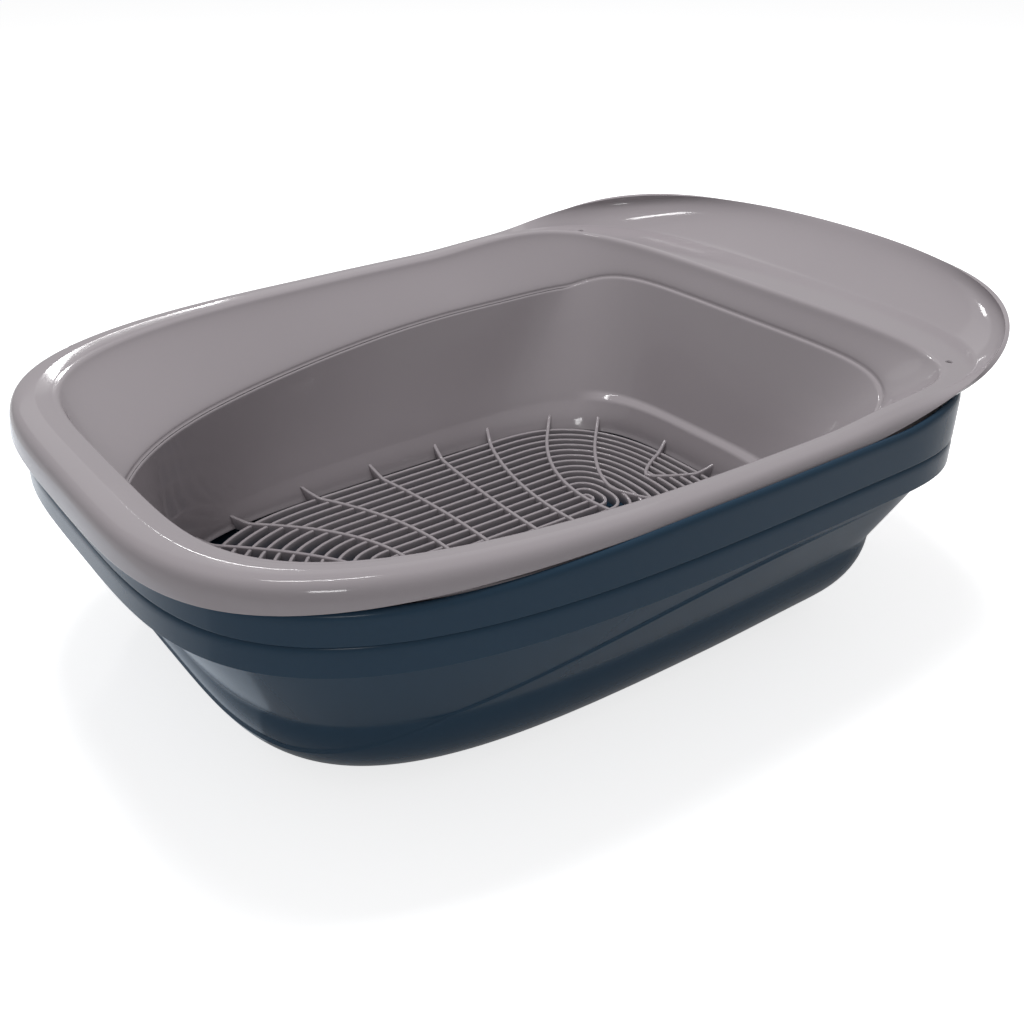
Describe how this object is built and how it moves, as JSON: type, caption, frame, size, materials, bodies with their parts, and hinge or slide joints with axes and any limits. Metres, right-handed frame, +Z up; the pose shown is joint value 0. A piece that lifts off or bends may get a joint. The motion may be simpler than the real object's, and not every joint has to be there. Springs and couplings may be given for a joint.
{
  "type": "sifting litter box",
  "caption": "Oval sifting litter box: two nested pans, a lift-out sieve tray with a slatted floor and a rim frame with a high flare at one end.",
  "frame": {"origin": "under the middle of the rim, on the plane that the base pan stands on", "axes": "+X along the box towards the high flare, +Y across it, +Z up, the way the trays lift"},
  "size_m": [0.5773, 0.41, 0.1841],
  "materials": {
    "blue_plastic": "glossy dark slate blue",
    "grey_plastic": "glossy warm grey"
  },
  "bodies": {
    "base": {"base_pan": "blue_plastic"},
    "litter": {"litter_pan": "blue_plastic"},
    "sieve": {"sieve_tray": "grey_plastic"},
    "frame": {"rim_frame": "grey_plastic"}
  },
  "joints": [
    {"name": "pan_lift", "type": "slide", "parent": "base", "child": "litter", "axis": [0, 0, 1], "range_m": [0, 0.13]},
    {"name": "sieve_lift", "type": "slide", "parent": "litter", "child": "sieve", "axis": [0, 0, 1], "range_m": [0, 0.14]},
    {"name": "frame_lift", "type": "slide", "parent": "sieve", "child": "frame", "axis": [0, 0, 1], "range_m": [0, 0.08]}
  ]
}
